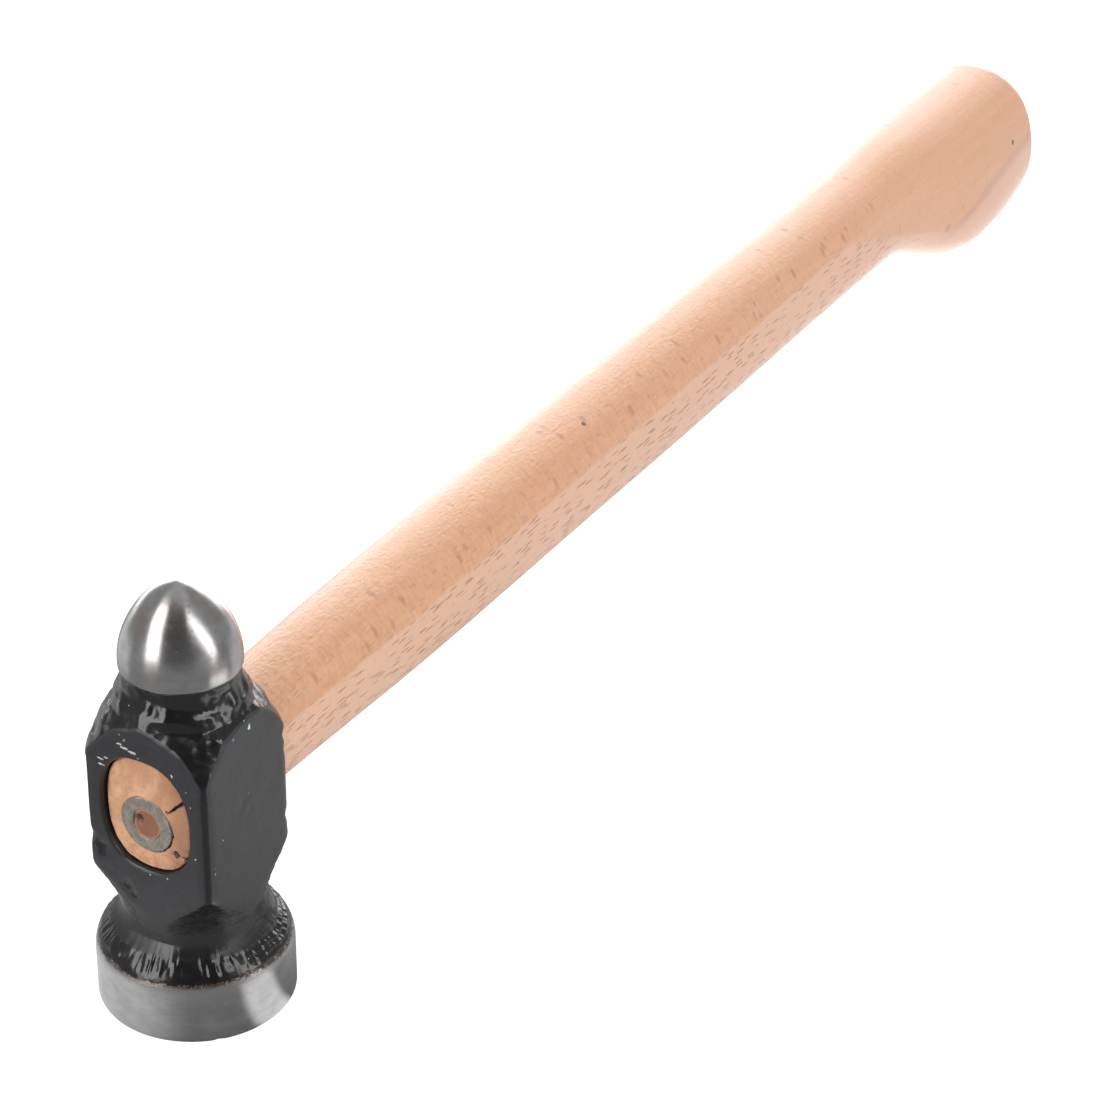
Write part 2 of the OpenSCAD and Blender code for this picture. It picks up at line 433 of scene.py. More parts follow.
def head_relief(grid, turned, angle):
    """Millimetres that the surface stands out: paint lumps, turning marks, knocks."""
    z = grid[..., 2]
    ring = np.stack([np.cos(angle) + 0 * z, np.sin(angle) + 0 * z, z], 2)
    painted = between(z, BAND_H + 1.4, BAND_H + 1.9, 47.9, 48.3)

    # Upright ridges on the flare, and level ripples on one side of it.
    flare = between(z, BAND_H + 1.6, BAND_H + 2.6, 12.0, 13.8)
    low_flare = 1 - 0.8 * smooth(10.7, 11.8, z)
    ridges = noise3(ring * np.array([18, 18, 0.35]) + 5, 3)
    ridges = ridges * 0.7 + 0.8 * noise3(ring * np.array([36, 36, 0.6]), 4)
    blobs = noise3(grid * 0.9, 5)
    relief = flare * low_flare * (0.10 * ridges + 0.06 * blobs)
    ripple_side = np.exp(-((np.cos(angle - RIPPLE_AT) - 1) / 0.16) ** 2)
    ripples = np.sin(z * 8.5 + 2.5 * noise3(grid * np.array([0.35, 0.35, 0.5]), 13))
    relief = relief + 0.09 * flare * ripple_side * ripples

    # Thick brushed paint on the upper shoulders, round the upper neck and on the lower shoulders.
    upper = between(z, BODY_Z1 - 0.5, BODY_Z1 + 1.5, 47.6, 48.2) * turned
    strokes = noise3(ring * np.array([7, 7, 1.1]) + 9, 6)
    relief = relief + upper * (0.04 * strokes + 0.20 * fractal(grid * 0.42, 2, 8))
    collar = between(z, 42.0, 44.0, 47.7, 48.2)
    relief = relief + collar * 0.16 * noise3(ring * np.array([5, 5, 0.7]) + 2, 9)
    lower = between(z, 13.0, 14.5, 19.5, 21.5) * turned
    scrape = noise3(grid * np.array([0.9, 0.9, 3.0]) + 3, 7)
    relief = relief + lower * 0.05 * scrape

    # The coat's own thickness and waves, then the bare steel and the knocks.
    relief = relief + painted * (0.045 * noise3(grid * 0.3, 10) + 0.008 * noise3(grid * 1.7, 11))
    relief = relief + painted * PAINT_THICK
    relief = relief + (1 - painted) * 0.006 * noise3(grid * 0.6, 12)
    for x, y, h, size, depth in HEAD_DENTS:
        relief = relief - depth * dent(grid, (x, y, h), size)
    return relief


def eye_cutter():
    """The oval hole, with its mouth slightly rounded and uneven."""
    a = circle(160)
    across, up = eye_oval(a)
    mouth = -HALF_X + np.linspace(0.05, 1.2, 12)
    back = HALF_X + np.linspace(-0.5, 0.0, 6)
    rows = []
    for x in np.concatenate([np.linspace(-12, -HALF_X, 6), mouth,
                             np.linspace(-7, HALF_X - 0.6, 14), back, [HALF_X + 2]]):
        depth = HALF_X - abs(x)
        taper = EYE_RZ_IN + (EYE_RZ - EYE_RZ_IN) * max(0.0, -x) / HALF_X
        lip = EYE_LIP * math.exp(-max(depth, 0) / 0.22)
        r = min(taper, EYE_RZ) + lip
        ring = np.stack([x + 0 * a, r * EYE_RATIO * across, EYE_Z + r * up], 1)
        wobble = 0.06 * noise3(ring * 0.8, 21)
        ring[:, 1] += wobble * np.cos(a)
        ring[:, 2] += wobble * np.sin(a)
        rows.append(ring)
    return grid_object("eye_cutter", rows)


def make_head():
    grid, turned, angle = head_grid()
    relief = head_relief(grid, turned, angle)
    grid = grid + grid_normals(grid) * relief[..., None]

    # The very tip of the peen is worn, and nothing reaches below the ground.
    reach = np.hypot(grid[..., 0], grid[..., 1])
    grid[..., 2] -= TIP_WEAR * np.exp(-(reach / 0.8) ** 2) * (grid[..., 2] > PEEN_Z)
    grid[..., 2] = np.maximum(grid[..., 2], 0)
    head = grid_object("hammer_head", list(grid))
    cut(head, eye_cutter())
    finish_mesh(head, black_paint())
    head.data.materials.append(turned_steel())
    bare_ends(head.data)
    return head


def bare_ends(mesh):
    """Gives the faces below and above the ragged edges of the paint the steel material."""
    middle = np.empty(len(mesh.polygons) * 3)
    mesh.polygons.foreach_get("center", middle)
    middle = middle.reshape(-1, 3) / MM
    rag = noise3(middle * 0.9, 71) * 0.22 + noise3(middle * 2.3, 72) * 0.16
    low = middle[:, 2] < PAINT_LOW + rag
    high = middle[:, 2] > PAINT_HIGH + rag * 0.5
    mesh.polygons.foreach_set("material_index", (low | high).astype(int))


# ---------------------------------------------------------------- handle and ring

# Pits in the end of the wood: y, z, radius, depth in millimetres.
END_PITS = [(1.5, 29.6, 0.7, 1.0), (0.2, 28.6, 0.5, 0.2), (-3.8, 26.3, 0.55, 0.7)]


def end_tilt(y):
    """How far the end of the wood and the ring stands out, more on one side."""
    return -0.22 + 0.035 * y


def tang_rows(around):
    """Rings of the wood from the middle of its end to the shoulder."""
    a = circle(around)
    across, up = eye_oval(a)
    rows = []
    mouth = EYE_RZ_IN - EYE_SLACK + (EYE_RZ - EYE_RZ_IN) * -END_X / HALF_X
    bevel = 0.30 + 0.5 * np.maximum(0, np.cos(a)) ** 4

    def ring(x, r):
        return np.stack([x + 0 * a, r * EYE_RATIO * across, EYE_Z + r * up], 1)

    # The end face, slightly hollow and uneven, with its pits.
    for share in np.linspace(0.02, 1, 62):
        row = ring(END_X, (mouth - bevel) * share)
        uneven = 0.07 * noise3(row * 0.7 + 4, 31) + 0.03 * noise3(row * 2.6, 32)
        row[:, 0] += 0.05 + uneven + 0.10 * share ** 4 + end_tilt(row[:, 1])
        for y, h, size, depth in END_PITS:
            apart = (row[:, 1] - y) ** 2 + (row[:, 2] - h) ** 2
            row[:, 0] += depth * np.exp(-apart / size ** 2)
        rows.append(row)

    # The rounded edge, then the taper that fills the eye.
    for t in np.linspace(0.15, 1, 7):
        row = ring(END_X + 0.15 + bevel * (1 - math.cos(t * math.pi / 2)),
                   mouth - bevel + (bevel - 0.04) * math.sin(t * math.pi / 2))
        row[:, 0] += 0.06 * noise3(row * 0.9 + 2, 33) + end_tilt(row[:, 1]) * (1 - t * 0.5)
        rows.append(row)
    for x in np.linspace(END_X + 1.6, 0, 8):
        rows.append(ring(x, EYE_RZ_IN - EYE_SLACK + (EYE_RZ - EYE_RZ_IN) * -x / HALF_X))
    for x in np.linspace(1.2, SHOULDER_X - 0.1, 6):
        rows.append(ring(x, EYE_RZ_IN - EYE_SLACK))
    return rows


def section(x, inset, around):
    """One ring of the shaft. Towards the butt the rings lean back."""
    a = circle(around)
    top, bottom = top_edge(x), bottom_edge(x)
    middle, half = (top + bottom) / 2, (top - bottom) / 2 - inset
    dz = half * squared(np.sin(a))
    lean = BUTT_LEAN * np.clip((x - LEAN_X0) / (HANDLE_L - LEAN_X0), 0, 1)
    return np.stack([x - lean * dz, (half_width(x) - inset) * squared(np.cos(a)),
                     EYE_Z + middle + dz], 1)


def shaft_rows(around):
    """Rings from the shoulder to the middle of the butt's end."""
    rows = []
    for out, back in quarter_turn(6, 0.1):
        rows.append(section(SHOULDER_X + SHOULDER_ROUND * back, SHOULDER_ROUND * (1 - out), around))
    for x in np.arange(SHOULDER_X + 0.8, HANDLE_L - BUTT_EDGE - 0.2, 0.5):
        rows.append(section(x, 0, around))
    for out, back in quarter_turn(14):
        rows.append(section(HANDLE_L - BUTT_EDGE + BUTT_EDGE * out, BUTT_EDGE * back, around))
    rim = rows[-1]
    middle = rim.mean(0)
    for share in np.linspace(0.96, 0.02, BUTT_ROWS):
        rows.append(middle + (rim - middle) * share)
    return rows


def wood_relief(grid):
    """Millimetres that sanded beech stands out: long waves and faint fibres."""
    waves = noise3(grid * np.array([0.035, 0.16, 0.16]), 41)
    flats = noise3(grid * np.array([0.012, 0.1, 0.1]) + 8, 42)
    fibres = noise3(grid * np.array([0.35, 2.4, 2.4]), 43)
    y, h = grid[..., 1], grid[..., 2] - EYE_Z
    crease = np.exp(-((h - 3.3) / 0.7) ** 2) * (np.abs(y) > 5.5) * (grid[..., 0] < 190)
    return 0.07 * waves + 0.05 * flats + 0.008 * fibres + 0.10 * crease


def ring_row(x, r, a):
    """A circle round the ring's axis."""
    return np.stack([x + 0 * a, RING_Y + r * np.cos(a), RING_Z + r * np.sin(a)], 1)


def tube_walls(start, end, grow, a):
    """The tapering outside of the ring down to its sharp end, and the bore back up."""
    rows = []
    for x in np.linspace(start + 0.3, end, 24):
        share = np.clip((x - END_X) / RING_L, 0, 1)
        rows.append(ring_row(x, RING_R - RING_TAPER * share + grow, a))
    for x in np.linspace(end, start + 0.25, 20):
        rows.append(ring_row(x, RING_BORE_R - grow, a))
    return rows


def ring_tube():
    """The ring as a closed tube with a rounded, uneven visible end."""
    a = circle(120)
    x0 = END_X - 0.05
    rows = [ring_row(x0 + RING_EDGE * (1 - out), RING_BORE_R + RING_EDGE * back, a)
            for out, back in quarter_turn(6)]
    for r in np.linspace(RING_BORE_R + RING_EDGE + 0.08, RING_R - RING_EDGE - 0.08, 14):
        rows.append(ring_row(x0, r, a))
    rows += [ring_row(x0 + RING_EDGE * back, RING_R - RING_EDGE * (1 - out), a)
             for out, back in quarter_turn(6)]
    grid = np.array(rows + tube_walls(x0 + RING_EDGE, x0 + RING_L, 0, a))
    front = 1 - smooth(x0 + 0.05, x0 + 0.7, grid[..., 0])
    rough = 0.035 * noise3(grid * 1.4, 52) + 0.015 * noise3(grid * 4.5, 53)
    grid[..., 0] += front * (rough + end_tilt(grid[..., 1]))
    grid[..., 1] += front * 0.03 * noise3(grid * 1.1 + 6, 54)
    grid[..., 2] += front * 0.03 * noise3(grid * 1.1 + 9, 55)
    return torus_object("steel_ring_wedge", grid)


def ring_groove():
    """What the ring takes out of the wood, with a ragged gap along one side."""
    a = circle(120)
    x0 = END_X - 1.0
    rows = [ring_row(x0, RING_BORE_R - GROOVE_GAP, a), ring_row(x0, RING_R + GROOVE_GAP, a)]
    grid = np.array(rows + tube_walls(x0, x0 + RING_L + 1.0 + GROOVE_GAP, GROOVE_GAP, a))
    gap = GROOVE_CRESCENT * np.maximum(0, np.cos(a + math.radians(160))) ** 2
    reach = np.linalg.norm(grid[..., 1:] - [RING_Y, RING_Z], axis=2)
    gap = gap * (1 + 0.7 * noise3(grid * 2.2, 51)) * (reach > (RING_R + RING_BORE_R) / 2)
    grid[..., 1] += gap * np.cos(a)
    grid[..., 2] += gap * np.sin(a)
    return torus_object("ring_groove", grid)


def split_cutter(start, end, width, depth, seed):
    """A thin uneven wedge that opens a crack in the end of the wood, from start to end."""
    start, end = np.array(start, float), np.array(end, float)
    way = (end - start) / np.linalg.norm(end - start)
    side = np.array([-way[1], way[0]])
    x_out = END_X - 0.8
    rows = []
    for t in np.linspace(-0.05, 1.08, 26):
        share = min(1, max(0, t))
        ragged = 1 + 0.35 * noise3(np.array([t * 9.0, 2.5, seed]), seed + 1)
        half = side * width * (0.45 + 0.55 * share) * ragged / 2
        jitter = 0.12 * noise3(np.array([t * 6.0, seed, 0.5]), seed)
        middle = start + (end - start) * t + side * jitter
        x_in = END_X + depth * (0.6 + 0.4 * math.sin(math.pi * share))
        rows.append(np.array([[x_out, *(middle + half)], [x_out, *(middle - half)],
                              [x_in, *(middle - half * 0.3)], [x_in, *(middle + half * 0.3)]]))
    obj = grid_object("split_cutter", rows)
    face_outward(obj.data)
    return obj


def make_handle():
    around = 224
    tang = np.array(tang_rows(around))
    shaft = np.array(shaft_rows(around))
    sanded = slice(3, -BUTT_ROWS)
    shaft[sanded] += (grid_normals(shaft) * wood_relief(shaft)[..., None])[sanded]
    handle = grid_object("beech_handle", list(np.concatenate([tang, shaft])))
    cut(handle, ring_groove())
    cut(handle, split_cutter((-3.1, 32.1), (-5.7, 34.6), 0.85, 1.8, 61))
    cut(handle, split_cutter((-3.4, 26.4), (-6.3, 26.1), 1.0, 1.6, 64))
    return finish_mesh(handle, beech())


def make_ring():
    return finish_mesh(ring_tube(), ring_steel(), 60)


# ---------------------------------------------------------------- material tools

class Tree:
    """A short way to write node trees."""

    def __init__(self, owner):
        owner.use_nodes = True
        self.tree = owner.node_tree
        self.tree.nodes.clear()

    def add(self, kind, inputs=None, **settings):
        node = self.tree.nodes.new(kind)
        for key, value in settings.items():
            setattr(node, key, value)
        for key, value in (inputs or {}).items():
            self.feed(node.inputs[key], value)
        return node

    def feed(self, socket, value):
        if isinstance(value, bpy.types.NodeSocket):
            self.tree.links.new(value, socket)
        else:
            socket.default_value = value

    def math(self, op, a, b=0.0, clamp=False):
        node = self.add("ShaderNodeMath", {0: a, 1: b}, operation=op, use_clamp=clamp)
        return node.outputs[0]

    def vector(self, op, a, b=None):
        inputs = {0: a}
        if b is not None:
            inputs["Scale" if op == "SCALE" else 1] = b
        return self.add("ShaderNodeVectorMath", inputs, operation=op)

    def ramp(self, value, lo, hi, a=0.0, b=1.0, soft=True):
        kind = "SMOOTHSTEP" if soft else "LINEAR"
        node = self.add("ShaderNodeMapRange",
                        {"Value": value, "From Min": lo, "From Max": hi, "To Min": a, "To Max": b},
                        interpolation_type=kind)
        return node.outputs[0]

    def mix(self, factor, a, b):
        node = self.add("ShaderNodeMix", {0: factor, 6: a, 7: b}, data_type="RGBA")
        return node.outputs[2]

    def blend(self, factor, a, b):
        node = self.add("ShaderNodeMix", {0: factor, 2: a, 3: b}, data_type="FLOAT")
        return node.outputs[0]

    def noise(self, where, scale=1.0, detail=2.0, rough=0.5):
        node = self.add("ShaderNodeTexNoise",
                        {"Vector": where, "Scale": scale, "Detail": detail, "Roughness": rough})
        return node.outputs["Fac"]

    def product(self, *factors):
        total = factors[0]
        for factor in factors[1:]:
            total = self.math("MULTIPLY", total, factor)
        return total

    def inverse(self, value):
        """1 minus the value."""
        return self.math("SUBTRACT", 1.0, value)

    def window(self, value, start, full, fade, end):
        """1 from full to fade, and 0 before start and after end."""
        return self.product(self.ramp(value, start, full), self.ramp(value, end, fade))

    def along(self, where, way):
        """Cosine of the angle between a unit vector and a fixed direction."""
        return self.vector("DOT_PRODUCT", where, tuple(way)).outputs["Value"]

    def cells(self, where, scale=1.0):
        """Distance to the nearest cell's middle, and a random colour for that cell."""
        node = self.add("ShaderNodeTexVoronoi", {"Vector": where, "Scale": scale})
        parts = self.add("ShaderNodeSeparateColor", {0: node.outputs["Color"]})
        return node.outputs["Distance"], parts.outputs

    def stretch(self, where, factors, shift=(0, 0, 0)):
        node = self.add("ShaderNodeMapping", {"Vector": where, "Scale": factors, "Location": shift})
        return node.outputs[0]

    def streaks(self, where, factors, detail, rough=0.5):
        """Noise with its own scale along each axis."""
        return self.noise(self.stretch(where, factors), 1.0, detail, rough)

    def bump(self, height, distance_mm, strength=1.0, normal=None):
        inputs = {"Height": height, "Distance": distance_mm * MM, "Strength": strength}
        if normal is not None:
            inputs["Normal"] = normal
        return self.add("ShaderNodeBump", inputs).outputs[0]


def new_material(name):
    material = bpy.data.materials.new(name)
    return material, Tree(material)


def millimetres(t):
    """Object coordinates in millimetres, and their three parts."""
    where = t.add("ShaderNodeTexCoord").outputs["Object"]
    mm = t.vector("SCALE", where, 1 / MM).outputs[0]
    parts = t.add("ShaderNodeSeparateXYZ", {0: mm})
    return mm, parts.outputs[0], parts.outputs[1], parts.outputs[2]


def shade(t, **inputs):
    """The material's Principled shader, with inputs by short names."""
    names = {"colour": "Base Color", "metal": "Metallic", "rough": "Roughness", "normal": "Normal",
             "specular": "Specular IOR Level", "sheen": "Sheen Weight"}
    shader = t.add("ShaderNodeBsdfPrincipled", {names[k]: v for k, v in inputs.items()})
    t.add("ShaderNodeOutputMaterial", {0: shader.outputs[0]})
    return shader


def spot(t, where, place, radius):
    """1 inside a soft-edged spot of this radius, 0 outside."""
    distance = t.vector("DISTANCE", where, place).outputs["Value"]
    return t.ramp(distance, radius, radius * 0.72)


def any_of(t, masks):
    total = masks[0]
    for mask in masks[1:]:
        total = t.math("MAXIMUM", total, mask)
    return total


# ---------------------------------------------------------------- materials

# Knocks in the paint: x, y, z, radius in millimetres. Those of the first list are long
# and level, as if something had slid along the flat.
LONG_CHIPS = [
    (-8.95, 2.5, 40.05, 0.24), (-8.95, 1.3, 39.8, 0.26), (-8.95, 3.2, 40.4, 0.18),
    (-8.95, 6.2, 37.3, 0.2), (-8.95, 6.1, 36.5, 0.2), (-8.95, 5.3, 37.7, 0.12),
    (-8.95, 0.4, 39.3, 0.1),
]
PALE_CHIPS = [
    (-8.7, -4.7, 41.1, 0.30), (-8.95, -6.4, 36.7, 0.12), (-8.95, -7.3, 27.2, 0.14),
    (-7.5, -9.1, 24.8, 0.14), (-8.8, 2.9, 22.9, 0.17), (-8.9, -0.3, 22.4, 0.15),
    (-8.9, -1.9, 22.45, 0.10), (-8.9, -2.9, 22.8, 0.16), (-9.0, -8.8, 39.9, 0.2),
    (-5.8, -9.1, 41.6, 0.3), (-4.6, -9.0, 42.6, 0.35), (-5.2, -9.05, 42.2, 0.22),
    (-8.95, -4.4, 38.3, 0.2), (-8.95, -6.9, 34.6, 0.1),
]
# Dents that take the darker wet paint: glossier paint there, and painted shade in the hollows.
DARK_DENTS = [
    (-8.8, 7.2, 24.3, 1.0), (-8.8, 7.0, 23.1, 0.7), (-8.8, 3.3, 19.5, 0.75),
    (-8.8, 2.4, 18.3, 0.6), (8.8, -9.0, 35.9, 1.0), (8.8, -9.0, 24.0, 1.0),
    (8.8, -9.0, 33.6, 0.6), (1.6, -9.3, 13.2, 1.3),
]
TEAL_CHIPS = [(0.7, -9.1, 41.4, 0.3), (0.75, -9.1, 41.8, 0.2)]
BLUE_CHIPS = [(-2.7, -9.1, 41.6, 0.19)]
BROWN_CHIPS = [(-8.8, 3.1, 41.8, 0.26), (-8.9, 2.4, 41.2, 0.22)]

# Painted shade in the pits and cracks in the end of the wood: y, z, radius in millimetres.
END_PIT_SHADE = [(-3.9, 26.2, 0.55), (-5.2, 26.1, 0.30), (1.6, 29.65, 0.5), (-3.0, 32.4, 0.2)]

# Dark marks in the wood: x, y, z, radius in millimetres.
DARK_SPECKS = [(89.9, -3.5, 38.3, 0.42), (66.4, -7.2, 29.5, 0.22), (214.3, -9.7, 30.8, 0.5)]


def steel_marks(t, mm):
    """Fine turning lines round the head's axis, as a height from 0 to 1."""
    fine = t.streaks(mm, (0.25, 0.25, 9.0), 3, 0.7)
    broad = t.streaks(mm, (0.12, 0.12, 2.2), 3, 0.6)
    return t.math("ADD", t.product(fine, 0.6), t.product(broad, 0.4))


def turned_steel():
    material, t = new_material("turned_steel")
    mm, _, _, z = millimetres(t)
    marks = steel_marks(t, mm)
    cloud = t.streaks(mm, (0.25, 0.25, 0.5), 3, 0.6)
    steel = t.mix(t.ramp(cloud, 0.3, 0.7), (0.38, 0.37, 0.37, 1), (0.46, 0.46, 0.465, 1))
    age = t.product(t.ramp(t.noise(mm, 0.35, 4, 0.65), 0.42, 0.68), t.ramp(z, 47.0, 51.0))
    steel = t.mix(t.product(age, 0.6), steel, (0.36, 0.30, 0.27, 1))
    steel = t.mix(t.ramp(marks, 0.45, 0.75, 0, 0.18), steel, (0.30, 0.29, 0.29, 1))

    # Rust specks, most of them on the peen, and next to the paint of the band a brown stain.
    grit = t.noise(mm, 2.9, 2, 0.6)
    peen = t.ramp(z, PEEN_Z + 2.0, PEEN_Z + 4.0, 0.15, 0.8)
    pits = t.product(t.ramp(grit, 0.68, 0.74), peen)
    steel = t.mix(pits, steel, (0.10, 0.07, 0.06, 1))
    below = t.math("SUBTRACT", PAINT_LOW, z)
    on_band = t.ramp(z, PEEN_Z - 3.0, PEEN_Z - 4.0)
    broken = t.ramp(t.noise(mm, 1.6, 3, 0.7), 0.38, 0.55)
    stain = t.product(t.ramp(below, 0.75, 0.15), on_band, broken)
    steel = t.mix(t.product(stain, 0.85), steel, (0.16, 0.095, 0.05, 1))
    splash = t.product(t.ramp(below, 0.5, 0.0), on_band, t.ramp(grit, 0.45, 0.6, 0, 0.8))
    steel = t.mix(splash, steel, (0.03, 0.025, 0.02, 1))

    rough = t.ramp(marks, 0.3, 0.7, 0.22, 0.27, soft=False)
    rough = t.math("ADD", rough, t.product(stain, 0.2))
    normal = t.bump(marks, 0.007)
    normal = t.bump(t.inverse(pits), 0.03, 0.6, normal)
    shader = shade(t, colour=steel, metal=1.0, rough=rough, normal=normal)
    shader.inputs["Anisotropic"].default_value = 0.62
    shader.inputs["Anisotropic Rotation"].default_value = 0.25
    around = t.add("ShaderNodeTangent", direction_type="RADIAL", axis="Z")
    t.feed(shader.inputs["Tangent"], around.outputs[0])
    return material


def jagged_space(t, mm):
    """Coordinates with small random shifts, so that spots get ragged outlines."""
    shift = t.add("ShaderNodeTexNoise", {"Vector": mm, "Scale": 3.2, "Detail": 2.0})
    shift = t.vector("SUBTRACT", shift.outputs["Color"], (0.5, 0.5, 0.5)).outputs[0]
    shift = t.vector("SCALE", shift, 0.42).outputs[0]
    return t.vector("ADD", mm, shift).outputs[0]


def marks_of(t, where, places):
    """Spots at the places of a list of x, y, z and radius."""
    return any_of(t, [spot(t, where, c[:3], c[3]) for c in places])


def chips(t, mm):
    """Masks of the pale, teal, blue and brown knocks in the paint."""
    where = jagged_space(t, mm)
    level = (1.0, 0.36, 1.25)
    along = t.vector("MULTIPLY", where, level).outputs[0]
    slid = [spot(t, along, [c[k] * level[k] for k in range(3)], c[3]) for c in LONG_CHIPS]
    away, colour = t.cells(mm, 0.55)
    lone = t.product(t.ramp(away, 0.07, 0.045), t.ramp(colour[0], 0.86, 0.88))
    pale = any_of(t, slid + [marks_of(t, where, PALE_CHIPS), lone])
    return [pale] + [marks_of(t, where, places) for places in (TEAL_CHIPS, BLUE_CHIPS, BROWN_CHIPS)]


def paint_zones(t, mm, x, y, z):
    """Masks: the dull parts, the arches under the flats and the square corners."""
    flat_x = t.ramp(t.math("ABSOLUTE", x), HALF_X - 0.24, HALF_X - 0.08)
    flat_y = t.ramp(t.math("ABSOLUTE", y), HALF_Y - 0.24, HALF_Y - 0.08)
    flat = t.product(t.math("MAXIMUM", flat_x, flat_y), t.ramp(z, 12.6, 14.2))
    edge = t.window(z, 20.0, 21.0, 34.0, 36.0)
    foot = t.window(z, 11.6, 12.6, 14.0, 15.0)
    dull = any_of(t, [flat, t.product(edge, 0.10), t.product(foot, 0.5)])
    # The dents get the darker wet paint: glossier paint, and painted shade in the hollows.
    dent_gloss_and_shade = marks_of(t, jagged_space(t, mm), DARK_DENTS)
    dull = t.math("SUBTRACT", dull, dent_gloss_and_shade, clamp=True)
    arch = t.product(t.window(z, 13.4, 14.6, 19.6, 21.0), t.inverse(flat))
    return dull, arch, edge


def black_paint():
    """The flats are dull, the turned parts look wet."""
    material, t = new_material("black_paint")
    mm, x, y, z = millimetres(t)
    dull, arch, edge = paint_zones(t, mm, x, y, z)
    pale, teal, blue, brown = chips(t, mm)
    mottle = t.noise(mm, 0.45, 4, 0.6)
    dust = t.noise(mm, 3.5, 3, 0.7)
    scrape = t.streaks(mm, (1.2, 1.2, 6.0), 3, 0.7)

    flat_colour = t.mix(mottle, (0.014, 0.0137, 0.0160, 1), (0.025, 0.0242, 0.0285, 1))
    flat_colour = t.mix(t.ramp(dust, 0.55, 0.8, 0, 0.35), flat_colour, (0.055, 0.055, 0.062, 1))
    wet_colour = t.mix(mottle, (0.003, 0.003, 0.0035, 1), (0.008, 0.008, 0.010, 1))
    black = t.mix(dull, wet_colour, flat_colour)
    scraped = t.product(arch, t.ramp(scrape, 0.5, 0.75, 0, 0.6))
    black = t.mix(scraped, black, (0.05, 0.05, 0.052, 1))
    bare = t.mix(t.noise(mm, 4.0, 2), (0.30, 0.30, 0.29, 1), (0.62, 0.63, 0.62, 1))
    for mask, colour in ((pale, bare), (teal, (0.50, 0.72, 0.66, 1)), (blue, (0.24, 0.36, 0.72, 1)),
                         (brown, (0.36, 0.23, 0.13, 1))):
        black = t.mix(mask, black, colour)

    # The lower neck is rough, and less so on one side.
    flat_rough = t.ramp(dust, 0.3, 0.8, 0.38, 0.50, soft=False)
    wet_rough = t.ramp(mottle, 0.3, 0.7, 0.12, 0.27, soft=False)
    level = t.vector("MULTIPLY", mm, (1, 1, 0)).outputs[0]
    facing = t.along(t.vector("NORMALIZE", level).outputs[0], SMOOTH_NECK_WAY)
    neck = t.product(t.window(z, 10.7, 11.4, 14.0, 15.0), t.ramp(facing, 0.82, 0.94, 0.50, 0.28))
    rough = any_of(t, [t.blend(dull, wet_rough, flat_rough), t.product(arch, 0.32),
                       t.product(edge, 0.30), neck])

    peel = t.noise(mm, 1.6, 3, 0.55)
    lumps = t.noise(mm, 0.55, 2, 0.45)
    height = t.blend(dull, t.product(lumps, 0.11), t.product(peel, 0.03))
    height = t.math("ADD", height, t.product(arch, scrape, 0.07))
    height = t.math("SUBTRACT", height, t.product(pale, 0.02))
    shade(t, colour=black, rough=rough, normal=t.bump(height, 1.0), specular=0.62)
    return material


def ring_steel():
    material, t = new_material("dull_steel_ring")
    mm = millimetres(t)[0]
    cloud = t.noise(mm, 1.1, 4, 0.65)
    grit = t.noise(mm, 6.0, 3, 0.7)
    colour = t.mix(t.ramp(cloud, 0.3, 0.7), (0.30, 0.26, 0.22, 1), (0.46, 0.42, 0.38, 1))
    colour = t.mix(t.ramp(grit, 0.54, 0.70, 0, 0.7), colour, (0.13, 0.105, 0.085, 1))
    rough = t.ramp(grit, 0.3, 0.8, 0.42, 0.66, soft=False)
    normal = t.bump(grit, 0.05, 0.8)
    shade(t, colour=colour, metal=0.85, rough=rough, normal=normal)
    return material


def grain_space(t, mm):
    """Coordinates along the grain, across the rings and along them, in millimetres."""
    turned = t.add("ShaderNodeMapping", {"Vector": mm, "Rotation": (math.radians(-14), 0, 0)})
    drift = t.add("ShaderNodeTexNoise",
                  {"Vector": t.stretch(mm, (0.012, 0.05, 0.05)), "Scale": 1.0, "Detail": 1.0})
    drift = t.vector("SCALE", drift.outputs["Color"], 3.0).outputs[0]
    drift = t.vector("MULTIPLY", drift, (0.0, 1.0, 1.0)).outputs[0]
    return t.vector("ADD", turned.outputs[0], drift).outputs[0]


def side_face(t, mm, x, z):
    """1 on the sides and underneath, 0 on top: the line runs lower near the butt."""
    drop = t.ramp(x, 160.0, 196.0, 3.3, -6.5)
    shaft_line = t.math("ADD", drop, EYE_Z)
    heel_line = t.math("ADD", heel_depth(t, x), EYE_Z)
    line = t.blend(t.ramp(x, 190.0, 199.0), shaft_line, heel_line)
    wander = t.streaks(mm, (0.12, 0.3, 0.3), 2)
    line = t.math("ADD", line, t.product(t.math("SUBTRACT", wander, 0.5), 0.8))
    low = t.ramp(t.math("SUBTRACT", line, z), -0.25, 0.35)
    return low, line


def heel_depth(t, x):
    """Height of the soft edge along the heel, measured from the shaft's axis."""
    back = t.math("DIVIDE", t.math("MAXIMUM", t.math("SUBTRACT", 221.0, x), 0.0), 26.0)
    return t.math("SUBTRACT", -2.2, t.product(t.math("POWER", back, 2.2), 6.5))


def ribbons(t, grain, size, shift, keep):
    """Rays: thin ribbons that run out from the heart. Only some of the cells hold one."""
    away, colour = t.cells(t.stretch(grain, size, shift))
    return t.product(t.ramp(away, 0.33, 0.22), t.ramp(colour[0], keep, keep + 0.25))


def ray_flecks(t, mm, z, line):
    """Broad flecks where rays lie flat: they crowd together next to the sides."""
    crowd = t.ramp(t.math("SUBTRACT", z, line), 5.0, 0.5, 0.12, 0.55)
    away, colour = t.cells(t.stretch(mm, (0.60, 0.33, 0.28), (2.0, 1.0, 5.0)))
    rim = t.math("ADD", away, t.product(t.noise(mm, 1.8, 3), 0.30))
    chosen = t.ramp(t.math("SUBTRACT", crowd, colour[1]), 0.0, 0.06)
    return t.product(t.ramp(rim, 0.52, 0.26), chosen)


